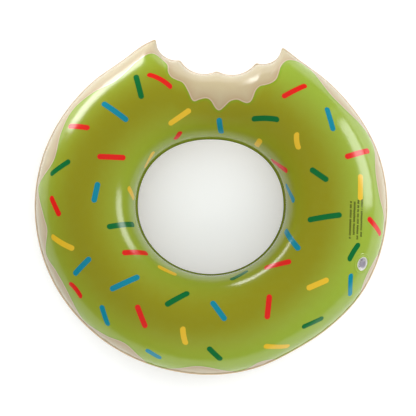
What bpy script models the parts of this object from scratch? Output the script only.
"""Inflatable ring float in the shape of a bitten doughnut.

Two PVC sheets are cut to the same outline and welded together along the hole and along the
rim. Air pressure lifts them off their common plane into a tube. A push-in air valve is welded
into the upper sheet, low on the right-hand shoulder.

Frame: metres, +Z up, floor at z = 0, +Y towards the bite, origin under the middle of the
float's box. Clock angles are counted clockwise from +Y, as on a clock face seen from above.
"""
import math

import bpy
import numpy as np

# ---- Sheets ------------------------------------------------------------------------------
SHEET = 0.0003              # thickness of each welded sheet
GAP = 0.0003                # clearance left between faces that touch on the real float
HOLE_HALF_WIDTH = 0.176
HOLE_FRONT = 0.166          # from the hole's middle to its edge away from the bite
HOLE_BACK = 0.163           # and to its edge on the bite's side, which is a little squarer
HOLE_BACK_POWER = 2.15      # 2 is an ellipse
INNER_FLANGE = 0.0045       # flat welded border round the hole
OUTER_FLANGE = 0.003        # and round the rim
FULLNESS = 0.92             # height of the tube over its width
FLOOR_FLAT = 0.0012         # how far the tube is pressed flat where it rests
SEAM_SAG = 0.006            # most that the seam dips where the tube is thinner
REST_ROWS = (0.43, 0.475, 0.52)     # flat resting band, as shares of the way from hole to rim

RIM_RADIUS = 0.425
# Shape of the rim, clockwise from the bite: clock angle, distance as a share of the radius
RIM = (
    (24.0, 0.995), (30.0, 0.988), (45.0, 0.984), (75.0, 1.004), (105.0, 1.002), (120.0, 0.993),
    (135.0, 0.969), (150.0, 0.953), (165.0, 0.962), (195.0, 0.969), (225.0, 0.986),
    (255.0, 1.000), (285.0, 1.000), (315.0, 0.986), (330.0, 0.984), (338.0, 1.005),
    (342.0, 1.000),
)
# Points between the tooth marks, left to right: clock angle, depth inside the rim's radius
CUSPS = ((-11.7, 0.059), (2.6, 0.093), (17.4, 0.056))
TOOTH_DEPTH = 0.019         # how far each mark is hollowed below the line between its ends
# Where the lines across the tube start on the hole, for the bite's five corners
CORNER_CLOCKS = (-25.0, -13.0, 3.0, 18.0, 29.0)

# ---- Push-in valve, sizes about its own axis ------------------------------------------------
VALVE_CLOCK = 112.4
VALVE_ACROSS = 0.885
COLLAR_RADIUS = 0.0250
COLLAR_WALL = 0.0008
RECESS_RADIUS = 0.0148      # inside of the collar, where the neck begins
SHEET_HOLE_LAP = 0.0018     # how much wider the hole in the sheet is than the recess
NECK_WALL = 0.0005
NECK_DEPTH = 0.0085         # where the straight outer wall of the neck turns inwards
STEM_BORE = 0.00425
STEM_WALL = 0.0019
STEM_LENGTH = 0.0078
LIP_OVERHANG = 0.0012
LIP_WALL = 0.0011
LIP_SOFT = 0.0003           # rounding of the lip's edge
ROOT_OVERHANG = 0.0021
ROOT_WALL = 0.0010
LIP_DEPTH = 0.0012          # the lip's top face below the sheet, with the valve pushed in
SEAT_WALL = 0.0008
SEAT_STEP = 0.0006          # how far the seat stands into the bore
SEAT_BAR = 0.0016           # width of the bar that keeps the flap from being drawn outwards
SEAT_BAR_INSET = 0.0001     # the bar is a little thinner than the ring, on both faces
FLAP_WALL = 0.0004
FLAP_LAP = 0.0012           # how much wider the flap is than the bore
PLUG_FIT = 0.0002           # radial clearance of the plug's shank at the lip
PLUG_SHANK = 0.0048
PLUG_HEAD_RADIUS = 0.0088
PLUG_HEAD_WALL = 0.0017
PLUG_HEAD_SOFT = 0.0005     # rounding of the head's edge
TAB_ROOT = 0.0053           # how far inside the head the tab begins, from the valve's axis
TAB_LENGTH = 0.0050
TAB_WIDTH = 0.0074
TAB_WALL = 0.0011
STRAP_LOOP = 0.0020         # how far the strap's bend stands out from the plug's head
STRAP_WIDTH = 0.0036
STRAP_WALL = 0.0006
STRAP_CLOCK = 200.0         # the side the strap is on, counted about the valve's axis

# Places along the valve's axis, and the plug's swing, that follow from the sizes above
LIP_TOP = -LIP_DEPTH
STEM_END = LIP_TOP - STEM_LENGTH
STEM_OUTER = STEM_BORE + STEM_WALL
ROOT_RADIUS = STEM_OUTER + ROOT_OVERHANG
SEAT_TOP = STEM_END - GAP
FLAP_TOP = SEAT_TOP - SEAT_WALL - GAP
SWING_REACH = PLUG_HEAD_RADIUS + STRAP_LOOP     # from the valve's axis to the strap's bend

# ---- Fineness of the solids -----------------------------------------------------------------
TOOTH_STEPS = 6             # lengths in each tooth mark
RIM_STEPS = 54              # lengths round the rest of the rim
ACROSS_STEPS = 12           # lengths across each sheet's arch
FINER = 4                   # the sheet's swelling is worked out on lines this much closer
FINE_ROWS = 36
ROUND_STEPS = 24            # sides of the valve's round pieces


# ---- Colours --------------------------------------------------------------------------------
def material(name, colour, roughness, metallic=0.0):
    made = bpy.data.materials.new(name)
    made.use_nodes = True
    made.diffuse_color = (*colour, 1.0)
    shader = made.node_tree.nodes["Principled BSDF"]
    shader.inputs["Base Color"].default_value = (*colour, 1.0)
    shader.inputs["Roughness"].default_value = roughness
    shader.inputs["Metallic"].default_value = metallic
    return made


def add_solid(name, points, faces, finish, origin=(0.0, 0.0, 0.0)):
    """A named object whose origin stands at the given point of the float's frame."""
    origin = np.asarray(origin, float)
    mesh = bpy.data.meshes.new(name)
    mesh.from_pydata([tuple(p - origin) for p in np.asarray(points, float)], [], faces)
    mesh.materials.append(finish)
    mesh.validate()
    solid = bpy.data.objects.new(name, mesh)
    solid.location = origin
    bpy.context.collection.objects.link(solid)
    mesh.shade_smooth()
    mesh.set_sharp_from_angle(angle=math.radians(40.0))
    return solid


# ---- Outlines -------------------------------------------------------------------------------
def clock_point(degrees, radius):
    turn = math.radians(degrees)
    return np.array((radius * math.sin(turn), radius * math.cos(turn)))


def through_knots(knots, at):
    """Smooth curve through (place, value) knots, read at the places given."""
    place, value = np.array(knots).T
    slope = np.gradient(value, place)
    k = np.clip(np.searchsorted(place, at, side="right") - 1, 0, len(place) - 2)
    width = place[k + 1] - place[k]
    t = (at - place[k]) / width
    rise = t * t * (3 - 2 * t)
    return (
        value[k] * (1 - rise)
        + value[k + 1] * rise
        + width * t * (1 - t) * ((1 - t) * slope[k] - t * slope[k + 1])
    )


def tooth_arc(start, end, depth, steps):
    """Round hollow between two corners of the bite, without its last point."""
    start, end = np.array(start), np.array(end)
    half = (end - start) / 2
    reach = np.linalg.norm(half)
    into_tube = np.array((half[1], -half[0])) / reach
    radius = (reach * reach + depth * depth) / (2 * depth)
    centre = start + half - into_tube * (radius - depth)
    open_angle = math.asin(reach / radius)
    turns = np.linspace(-open_angle, open_angle, steps + 1)[:-1]
    return [
        centre + radius * (math.cos(a) * into_tube + math.sin(a) * half / reach) for a in turns
    ]


def hole_edge(degrees):
    turn = np.radians(degrees)
    side, along = np.sin(turn), np.cos(turn)
    back = along > 0
    length = np.where(back, HOLE_BACK, HOLE_FRONT)
    power = np.where(back, HOLE_BACK_POWER, 2.0)
    scale = (np.abs(side / HOLE_HALF_WIDTH) ** power + np.abs(along / length) ** power)
    scale = scale ** (-1 / power)
    return np.stack((side * scale, along * scale), axis=-1)


def outlines(finer):
    """The rim and the hole's edge, point for point, starting at the bite's left corner."""
    rim_knots = [(clock, share * RIM_RADIUS) for clock, share in RIM]
    corners = [clock_point(*rim_knots[-1])]
    corners += [clock_point(clock, RIM_RADIUS - depth) for clock, depth in CUSPS]
    corners.append(clock_point(*rim_knots[0]))
    tooth, rim = TOOTH_STEPS * finer, RIM_STEPS * finer
    edge = []
    for start, end in zip(corners, corners[1:]):
        edge += tooth_arc(start, end, TOOTH_DEPTH, tooth)
    clocks = np.linspace(RIM[0][0], RIM[-1][0], rim + 1)[:-1]
    edge += [clock_point(c, r) for c, r in zip(clocks, through_knots(rim_knots, clocks))]
    starts = [
        np.linspace(a, b, tooth + 1)[:-1] for a, b in zip(CORNER_CLOCKS, CORNER_CLOCKS[1:])
    ]
    starts.append(np.linspace(CORNER_CLOCKS[-1], CORNER_CLOCKS[0] + 360, rim + 1)[:-1])
    edge, hole = np.array(edge), hole_edge(np.concatenate(starts))
    middle = (edge.min(axis=0) + edge.max(axis=0)) / 2
    return edge - middle, hole - middle, -middle


def seam_inside(edge, partner, flange):
    """Weld line set in from an edge by the flange, along the lines across the tube."""
    along = np.roll(edge, -1, axis=0) - np.roll(edge, 1, axis=0)
    along /= np.linalg.norm(along, axis=1, keepdims=True)
    across = partner - edge
    across /= np.linalg.norm(across, axis=1, keepdims=True)
    square = np.abs(along[:, 0] * across[:, 1] - along[:, 1] * across[:, 0])
    return edge + across * (flange / np.maximum(square, 0.5))[:, None]


# ---- Swelling of the sheets under air pressure ----------------------------------------------
def membrane_height(inner, outer, rows):
    """Solves the membrane equation between two seams.

    inner and outer are matching points of the two seams; rows is the number of steps across.
    Returns the lift squared, divided by s (1 - s), on every line at every row. That ratio is
    smooth all the way to the seams, so it can be read between rows.
    """
    lines = len(inner)
    s = np.linspace(0.0, 1.0, rows + 1)
    plan = inner[:, None, :] * (1 - s)[None, :, None] + outer[:, None, :] * s[None, :, None]
    flat = plan.reshape(-1, 2)
    index = np.arange(lines * (rows + 1)).reshape(lines, rows + 1)
    a, b = index[:, :-1].ravel(), index[:, 1:].ravel()
    c, d = np.roll(index, -1, axis=0)[:, :-1].ravel(), np.roll(index, -1, axis=0)[:, 1:].ravel()
    corners = np.concatenate((np.stack((a, c, d), 1), np.stack((a, d, b), 1)))
    area = np.zeros(len(flat))
    start, end, weight = [], [], []
    for k in range(3):
        i, j, o = corners[:, k], corners[:, (k + 1) % 3], corners[:, (k + 2) % 3]
        u, v = flat[i] - flat[o], flat[j] - flat[o]
        twice = np.abs(u[:, 0] * v[:, 1] - u[:, 1] * v[:, 0])
        start.append(i)
        end.append(j)
        weight.append(0.5 * (u * v).sum(axis=1) / twice)
        area += np.bincount(i, twice / 6, len(flat))
    start, end, weight = map(np.concatenate, (start, end, weight))
    free = np.ones(index.shape, bool)
    free[:, 0] = free[:, -1] = False
    free = free.ravel()
    stiff = np.bincount(start, weight, len(flat)) + np.bincount(end, weight, len(flat))

    def pull(x):
        y = stiff * x - np.bincount(start, weight * x[end], len(flat))
        return (y - np.bincount(end, weight * x[start], len(flat))) * free

    lift = np.zeros(len(flat))
    left = area * free
    step = left / stiff
    size = left @ step
    goal = 1e-16 * size
    while size > goal:
        pulled = pull(step)
        share = size / (step @ pulled)
        lift += share * step
        left -= share * pulled
        eased = left / stiff
        size, before = left @ eased, size
        step = eased + step * (size / before)
    lift = lift.reshape(lines, rows + 1)
    ratio = np.empty_like(lift)
    ratio[:, 1:-1] = 2 * lift[:, 1:-1] / (s * (1 - s))[1:-1]
    ratio[:, 0] = 2 * ratio[:, 1] - ratio[:, 2]
    ratio[:, -1] = 2 * ratio[:, -2] - ratio[:, -3]
    return ratio


class Tube:
    """The swollen tube: lines across it numbered round the float, s from hole (0) to rim (1)."""

    def __init__(self):
        self.edge, self.hole, self.hole_middle = outlines(FINER)
        self.outer = seam_inside(self.edge, self.hole, OUTER_FLANGE)
        self.inner = seam_inside(self.hole, self.edge, INNER_FLANGE)
        self.ratio = membrane_height(self.inner, self.outer, FINE_ROWS)
        s = np.linspace(0.0, 1.0, FINE_ROWS + 1)
        crest = FULLNESS * np.sqrt(self.ratio * s * (1 - s)).max(axis=1)
        drop = np.clip(crest.max() - crest, 0.0, None)
        drop = SEAM_SAG * np.tanh(drop / SEAM_SAG)
        self.seam_height = crest.max() - drop + GAP / 2 + SHEET - FLOOR_FLAT

    def at(self, line, s):
        """Plan position, seam height and lift, read between the lines by a smooth curve."""
        base = int(math.floor(line))
        t = line - base
        weights = (
            -t * (1 - t) ** 2 / 2, (2 - 5 * t**2 + 3 * t**3) / 2,
            t * (1 + 4 * t - 3 * t**2) / 2, -(t**2) * (1 - t) / 2,
        )
        spots = [(base + k) % len(self.inner) for k in (-1, 0, 1, 2)]

        def blend(values):
            return sum(w * values[k] for w, k in zip(weights, spots))

        plan = blend(self.inner) * (1 - s) + blend(self.outer) * s
        row = np.linspace(0.0, 1.0, FINE_ROWS + 1)
        ratio = np.interp(s, row, blend(self.ratio))
        lift = FULLNESS * math.sqrt(max(ratio * s * (1 - s), 0.0))
        return plan, float(blend(self.seam_height)), lift

    def top(self, line, s):
        plan, seam, lift = self.at(line, s)
        return np.array((*plan, seam + GAP / 2 + SHEET + lift))

    def bottom(self, line, s):
        plan, seam, lift = self.at(line, s)
        return np.array((*plan, max(seam - GAP / 2 - SHEET - lift, 0.0)))

    def normal(self, side, line, s):
        """Unit normal that points out of the tube."""
        near, far = max(s - 0.01, 1e-4), min(s + 0.01, 1 - 1e-4)
        across = side(line, far) - side(line, near)
        along = side(line + 0.5, s) - side(line - 0.5, s)
        out = np.cross(along, across)
        if side == self.bottom:
            out = -out
        return out / np.linalg.norm(out)


# ---- Sheets as solids -----------------------------------------------------------------------
def split_quad(face, points):
    if len(face) == 3:
        return [face]
    a, b, c, d = face
    if np.linalg.norm(points[a] - points[c]) < np.linalg.norm(points[b] - points[d]):
        return [(a, b, c), (a, c, d)]
    return [(a, b, d), (b, c, d)]


def thick_sheet(name, outside, inside, faces, finish):
    """A solid between two copies of one surface, closed along every free edge.

    Each quad is split across its shorter diagonal, alike on both copies, so that the thin wall
    stays open between them where the quads are twisted.
    """
    count = len(outside)
    faces = [piece for face in faces for piece in split_quad(face, outside)]
    edges = {}
    for face in faces:
        for a, b in zip(face, face[1:] + face[:1]):
            edges[(a, b)] = True
    walls = [(b, a, a + count, b + count) for a, b in edges if (b, a) not in edges]
    back = [tuple(count + v for v in reversed(face)) for face in faces]
    return add_solid(name, list(outside) + list(inside), faces + back + walls, finish)


def arch_rows(steps):
    """Places across the tube that are evenly spaced round its section."""
    return [(1 - math.cos(math.pi * k / steps)) / 2 for k in range(steps + 1)]


def sheet_grid(tube, side, rows):
    """Outer and inner faces of one sheet, line by line: flange, seam, arch, seam, flange."""
    up = 1.0 if side == tube.top else -1.0
    outside, inside = [], []
    for line in range(0, len(tube.inner), FINER):
        plan_in, seam, _ = tube.at(line, 0.0)
        plan_out, _, _ = tube.at(line, 1.0)
        into = (plan_out - plan_in) / np.linalg.norm(plan_out - plan_in)
        face = seam + up * (GAP / 2 + SHEET)
        ply = seam + up * GAP / 2
        hole, edge = tube.hole[line], tube.edge[line]
        outside.append(np.array((*hole, face)))
        inside.append(np.array((*hole, ply)))
        outside.append(np.array((*plan_in, face)))
        inside.append(np.array((*(plan_in + into * SHEET), ply)))
        for s in rows[1:-1]:
            point = side(line, s)
            outside.append(point)
            inside.append(point - SHEET * tube.normal(side, line, s))
        outside.append(np.array((*plan_out, face)))
        inside.append(np.array((*(plan_out - into * SHEET), ply)))
        outside.append(np.array((*edge, face)))
        inside.append(np.array((*edge, ply)))
    return outside, inside


def grid_faces(lines, across, left_out=(), flip=False):
    """Quads of the sheet's grid, apart from the cells left out."""
    faces = []
    for u in range(lines):
        for v in range(across - 1):
            if (u, v) in left_out:
                continue
            w = (u + 1) % lines
            quad = (u * across + v, w * across + v, w * across + v + 1, u * across + v + 1)
            faces.append(quad[::-1] if flip else quad)
    return faces


class ValvePlace:
    """Where the valve sits: its centre on the upper sheet and three axes, the last outward."""

    def __init__(self, tube):
        self.tube = tube
        away = tube.outer - tube.hole_middle
        clocks = np.degrees(np.arctan2(away[:, 0], away[:, 1])) % 360
        self.line, self.s = float(np.argmin(np.abs(clocks - VALVE_CLOCK))), VALVE_ACROSS
        self.centre = tube.top(self.line, self.s)
        self.out = tube.normal(tube.top, self.line, self.s)
        side = np.cross((0.0, 0.0, 1.0), self.out)
        self.side = side / np.linalg.norm(side)
        self.up = np.cross(self.out, self.side)

    def solve(self, miss):
        """Line and place across at which a two-part miss is nil, by Newton steps."""
        line, s = self.line, self.s
        for _ in range(8):
            here = miss(line, s)
            slope = np.stack(
                ((miss(line + 0.1, s) - here) / 0.1, (miss(line, s + 0.001) - here) / 0.001), 1
            )
            step = np.linalg.solve(slope, here)
            line, s = line - float(step[0]), min(max(s - float(step[1]), 0.01), 0.99)
        return line, s

    def place(self, points):
        """Points given along side, up and out, moved to the float's frame."""
        points = np.asarray(points, float)
        return self.centre + points @ np.stack((self.side, self.up, self.out))

    def on_sheet(self, radius, turn):
        """Point of the sheet's outer face that lies at a radius and turn about the axis."""
        x, y = radius * math.cos(turn), radius * math.sin(turn)

        def miss(line, s):
            away = self.tube.top(line, s) - self.centre
            return np.array((away @ self.side - x, away @ self.up - y))

        return self.tube.top(*self.solve(miss))


def stitch(outer_ring, inner_ring, points, valve):
    """Triangles between two rings of point numbers that turn the same way about the valve."""
    def turn_of(number):
        away = points[number] - valve.centre
        return math.atan2(away @ valve.up, away @ valve.side)

    def sorted_ring(ring):
        return sorted((turn_of(n), n) for n in ring)

    far, near = sorted_ring(outer_ring), sorted_ring(inner_ring)
    full = 2 * math.pi
    faces, i, j = [], 0, 0
    while i < len(far) or j < len(near):
        a, b = far[i % len(far)], near[j % len(near)]
        next_a, next_b = far[(i + 1) % len(far)], near[(j + 1) % len(near)]
        turn_a = next_a[0] + (full if i + 1 >= len(far) else 0)
        turn_b = next_b[0] + (full if j + 1 >= len(near) else 0)
        if j >= len(near) or (i < len(far) and turn_a <= turn_b):
            faces.append((b[1], a[1], next_a[1]))
            i += 1
        else:
            faces.append((b[1], a[1], next_b[1]))
            j += 1
    return faces


def ring_turns():
    return [2 * math.pi * k / ROUND_STEPS for k in range(ROUND_STEPS)]


def cells_about(valve, radius, points, rows, lines, across):
    """Cells of the grid that a circle about the valve needs, and the points round them."""
    cell_u = int(valve.line // FINER)
    cell_v = int(np.searchsorted(rows, valve.s))
    last = across - 3
    for grown in range(1, last):
        low, high = max(cell_v - grown, 1), min(cell_v + grown, last)
        lows = cell_u - grown
        highs = cell_u + grown
        cells = {(u % lines, v) for u in range(lows, highs + 1) for v in range(low, high + 1)}
        border = {
            u % lines * across + v
            for u in range(lows, highs + 2) for v in range(low, high + 2)
            if u in (lows, highs + 1) or v in (low, high + 1)
        }
        away = [points[n] - valve.centre for n in border]
        nearest = min(math.hypot(p @ valve.side, p @ valve.up) for p in away)
        if nearest > 1.05 * radius:
            break
    return cells, border


def make_top_sheet(tube, valve, finish):
    """Upper sheet, with a round hole for the valve and a ring of finer faces about it."""
    rows = arch_rows(ACROSS_STEPS)
    outside, inside = sheet_grid(tube, tube.top, rows)
    across = len(rows) + 2
    lines = len(outside) // across
    flat_ring = COLLAR_RADIUS + SHEET_HOLE_LAP
    left_out, border = cells_about(valve, flat_ring, outside, rows, lines, across)
    faces = grid_faces(lines, across, left_out)
    rings = []
    for radius in (flat_ring, RECESS_RADIUS + SHEET_HOLE_LAP):
        rings.append(range(len(outside), len(outside) + ROUND_STEPS))
        for turn in ring_turns():
            point = valve.on_sheet(radius, turn)
            outside.append(point)
            inside.append(point - SHEET * valve.out)
    faces += stitch(border, rings[0], outside, valve)
    for k in range(ROUND_STEPS):
        m = (k + 1) % ROUND_STEPS
        faces.append((rings[0][k], rings[0][m], rings[1][m], rings[1][k]))
    return thick_sheet("top_sheet", outside, inside, faces, finish)


def make_bottom_sheet(tube, finish):
    """Lower sheet, with three rows close together along its flat resting band."""
    rows = arch_rows(ACROSS_STEPS)
    middle = ACROSS_STEPS // 2
    rows[middle:middle + 1] = list(REST_ROWS)
    outside, inside = sheet_grid(tube, tube.bottom, rows)
    across = len(rows) + 2
    faces = grid_faces(len(outside) // across, across, flip=True)
    return thick_sheet("bottom_sheet", outside, inside, faces, finish)


# ---- Valve pieces ---------------------------------------------------------------------------
def turned(name, valve, profile, finish, closed_loop, origin=None):
    """Solid of revolution about the valve's axis, from (radius, height) points.

    A closed loop makes a ring. Otherwise the profile starts and ends on the axis. The loop
    runs down the outer side, so that the faces point outwards.
    """
    points, faces, rings = [], [], []
    for radius, height in profile:
        if radius == 0.0:
            rings.append([len(points)] * ROUND_STEPS)
            points.append((0.0, 0.0, height))
            continue
        rings.append(list(range(len(points), len(points) + ROUND_STEPS)))
        points += [(radius * math.cos(t), radius * math.sin(t), height) for t in ring_turns()]
    pairs = list(zip(rings, rings[1:] + rings[:1]))
    for upper, lower in pairs if closed_loop else pairs[:-1]:
        for k in range(ROUND_STEPS):
            m = (k + 1) % ROUND_STEPS
            face = list(dict.fromkeys((upper[k], lower[k], lower[m], upper[m])))
            if len(face) > 2:
                faces.append(tuple(face))
    at = valve.centre if origin is None else origin
    return add_solid(name, valve.place(points), faces, finish, at)


def make_collar(valve, finish):
    """Soft ring welded under the sheet; it follows the sheet's curve."""
    top, low = SHEET + GAP, SHEET + GAP + COLLAR_WALL
    outside, inside = [], []
    for radius in (RECESS_RADIUS, RECESS_RADIUS + SHEET_HOLE_LAP, COLLAR_RADIUS):
        for turn in ring_turns():
            point = valve.on_sheet(radius, turn)
            outside.append(point - top * valve.out)
            inside.append(point - low * valve.out)
    faces = []
    for ring in range(2):
        for k in range(ROUND_STEPS):
            m = (k + 1) % ROUND_STEPS
            a, b = ring * ROUND_STEPS, (ring + 1) * ROUND_STEPS
            faces.append((b + k, b + m, a + m, a + k))
    return thick_sheet("valve_collar", outside, inside, faces, finish)


def make_neck(valve, finish):
    """Thin rolling neck, folded down inside the float with the valve pushed in."""
    start = SHEET + GAP + COLLAR_WALL / 2
    outer = RECESS_RADIUS - GAP - NECK_WALL / 2
    root = ROOT_RADIUS + GAP + NECK_WALL / 2
    end = STEM_END + ROOT_WALL / 2
    fold = (outer - root) / 2
    middle = (outer + root) / 2
    path = [(outer, -start)]
    for k in range(9):
        turn = math.pi * k / 8
        path.append((middle + fold * math.cos(turn), -NECK_DEPTH - fold * math.sin(turn)))
    path.append((root, end))
    path = np.array(path)
    along = np.gradient(path, axis=0)
    along /= np.linalg.norm(along, axis=1, keepdims=True)
    outward = np.stack((-along[:, 1], along[:, 0]), 1) * NECK_WALL / 2
    loop = [tuple(p) for p in path + outward] + [tuple(p) for p in (path - outward)[::-1]]
    return turned("valve_neck", valve, loop, finish, True)


def make_stem(valve, finish):
    """Mouthpiece tube with a lip at its top and a root ring where the neck is welded."""
    lip = STEM_OUTER + LIP_OVERHANG
    loop = [
        (STEM_BORE, LIP_TOP), (lip - LIP_SOFT, LIP_TOP), (lip, LIP_TOP - LIP_SOFT),
        (lip, LIP_TOP - LIP_WALL), (STEM_OUTER, LIP_TOP - LIP_WALL),
        (STEM_OUTER, STEM_END + ROOT_WALL), (ROOT_RADIUS, STEM_END + ROOT_WALL),
        (ROOT_RADIUS, STEM_END), (STEM_BORE, STEM_END),
    ]
    return turned("valve_stem", valve, loop, finish, True)


def box_points(lows, highs):
    (x0, y0, z0), (x1, y1, z1) = lows, highs
    return [
        (x0, y0, z0), (x1, y0, z0), (x1, y1, z0), (x0, y1, z0),
        (x0, y0, z1), (x1, y0, z1), (x1, y1, z1), (x0, y1, z1),
    ]


BOX_FACES = [
    (0, 3, 2, 1), (4, 5, 6, 7), (0, 1, 5, 4), (1, 2, 6, 5), (2, 3, 7, 6), (3, 0, 4, 7),
]


def strap_frame(valve):
    """Axes of the strap: away from the valve along its side, across it, and out."""
    turn = math.radians(STRAP_CLOCK)
    away = math.cos(turn) * valve.side + math.sin(turn) * valve.up
    across = np.cross(valve.out, away)
    return away, across


def hinge_point(valve):
    """Bend of the strap, about which the plug swings."""
    away, _ = strap_frame(valve)
    return valve.centre + away * SWING_REACH + valve.out * LIP_TOP


def flap_hinge_point(valve):
    away, _ = strap_frame(valve)
    return valve.centre - away * (STEM_BORE + FLAP_LAP) + valve.out * FLAP_TOP


def make_seat(valve, finish):
    """Ring under the stem with one bar across it, which the flap closes against."""
    top, low, inner = SEAT_TOP, SEAT_TOP - SEAT_WALL, STEM_BORE - SEAT_STEP
    ring = turned(
        "flap_seat", valve, [(inner, top), (ROOT_RADIUS, top), (ROOT_RADIUS, low), (inner, low)],
        finish, True,
    )
    half = SEAT_BAR / 2
    away, across = strap_frame(valve)
    frame = np.stack((across, away, valve.out))
    corners = box_points(
        (-STEM_BORE, -half, low + SEAT_BAR_INSET), (STEM_BORE, half, top - SEAT_BAR_INSET)
    )
    bar = add_solid(
        "flap_seat_bar", valve.centre + np.array(corners) @ frame, BOX_FACES, finish,
        valve.centre,
    )
    bar.hide_render = True
    bar.display_type = "WIRE"
    union = ring.modifiers.new("bar", "BOOLEAN")
    union.operation = "UNION"
    union.object = bar
    return ring


def make_flap(valve, finish):
    """Loose film disc that pressure lifts against the seat; it swings inwards on one edge."""
    radius, low = STEM_BORE + FLAP_LAP, FLAP_TOP - FLAP_WALL
    return turned(
        "check_flap", valve, [(0.0, FLAP_TOP), (radius, FLAP_TOP), (radius, low), (0.0, low)],
        finish, False, flap_hinge_point(valve),
    )


def make_plug(valve, finish):
    """Tapered stopper with a round head and a pull tab opposite the strap."""
    under = LIP_TOP + GAP
    head = under + PLUG_HEAD_WALL
    shank = STEM_BORE - PLUG_FIT
    # The far edge of the shank's end just clears the bore as the plug swings out
    swing = SWING_REACH + shank
    shank_end = math.sqrt(swing * swing - PLUG_SHANK * PLUG_SHANK) - SWING_REACH
    profile = [
        (0.0, head), (PLUG_HEAD_RADIUS - PLUG_HEAD_SOFT, head),
        (PLUG_HEAD_RADIUS, head - PLUG_HEAD_SOFT),
        (PLUG_HEAD_RADIUS, under), (shank, under), (shank, LIP_TOP),
        (shank_end, LIP_TOP - PLUG_SHANK), (0.0, LIP_TOP - PLUG_SHANK),
    ]
    plug = turned("valve_plug", valve, profile, finish, False, hinge_point(valve))
    away, across = strap_frame(valve)
    frame = np.stack((across, -away, valve.out))
    half, tip = TAB_WIDTH / 2, PLUG_HEAD_RADIUS + TAB_LENGTH
    low = under + (PLUG_HEAD_WALL - TAB_WALL) / 2
    high = low + TAB_WALL
    outline = [(-half, TAB_ROOT), (half, TAB_ROOT)]
    outline += [
        (half * math.cos(math.pi * k / 8), tip - half + half * math.sin(math.pi * k / 8))
        for k in range(9)
    ]
    count = len(outline)
    points = [(x, y, low) for x, y in outline] + [(x, y, high) for x, y in outline]
    faces = [tuple(range(count - 1, -1, -1)), tuple(range(count, 2 * count))]
    faces += [(k, (k + 1) % count, count + (k + 1) % count, count + k) for k in range(count)]
    tab = add_solid(
        "valve_plug_tab", valve.centre + np.array(points) @ frame, faces, finish, valve.centre
    )
    tab.hide_render = True
    tab.display_type = "WIRE"
    union = plug.modifiers.new("tab", "BOOLEAN")
    union.operation = "UNION"
    union.object = tab
    return plug


def make_strap(valve, finish):
    """Short band that loops from the stem's lip to the edge of the plug's head."""
    away, across = strap_frame(valve)
    low = LIP_TOP - LIP_WALL / 2
    high = LIP_TOP + GAP + PLUG_HEAD_WALL / 2
    start, end = STEM_OUTER + LIP_OVERHANG + GAP, PLUG_HEAD_RADIUS + GAP
    bend = (high - low) / 2
    path = [(start, low)]
    turns = 8
    for k in range(turns + 1):
        turn = -math.pi / 2 + math.pi * k / turns
        reach = SWING_REACH - bend / 2 + bend * math.cos(turn)
        path.append((reach, low + bend + bend * math.sin(turn)))
    path.append((end, high))
    path = np.array(path)
    along = np.gradient(path, axis=0)
    along /= np.linalg.norm(along, axis=1, keepdims=True)
    square = np.stack((-along[:, 1], along[:, 0]), 1) * STRAP_WALL / 2
    square[0] = square[-1] = (0.0, STRAP_WALL / 2)
    square[-1] *= -1
    rows = []
    for place, offset in zip(path, square):
        for side, sign in ((-1, -1), (1, -1), (1, 1), (-1, 1)):
            reach, height = place + sign * offset
            rows.append(away * reach + across * side * STRAP_WIDTH / 2 + valve.out * height)
    faces = [(3, 2, 1, 0), tuple(len(rows) - 4 + k for k in range(4))]
    for k in range(len(path) - 1):
        for c in range(4):
            d = (c + 1) % 4
            faces.append((4 * k + c, 4 * k + d, 4 * k + 4 + d, 4 * k + 4 + c))
    return add_solid("plug_strap", valve.centre + np.array(rows), faces, finish,
                     hinge_point(valve))


def main():
    for old in list(bpy.data.objects):
        bpy.data.objects.remove(old, do_unlink=True)
    printed = material("printed_pvc", (0.27, 0.29, 0.02), 0.22)
    plain = material("cream_pvc", (0.80, 0.70, 0.48), 0.25)
    clear = material("clear_pvc", (0.72, 0.76, 0.62), 0.18)
    film = material("clear_film", (0.80, 0.82, 0.74), 0.20)
    tube = Tube()
    valve = ValvePlace(tube)
    make_top_sheet(tube, valve, printed)
    make_bottom_sheet(tube, plain)
    make_collar(valve, clear)
    make_neck(valve, film)
    make_stem(valve, clear)
    make_seat(valve, clear)
    make_flap(valve, film)
    make_plug(valve, clear)
    make_strap(valve, clear)


main()
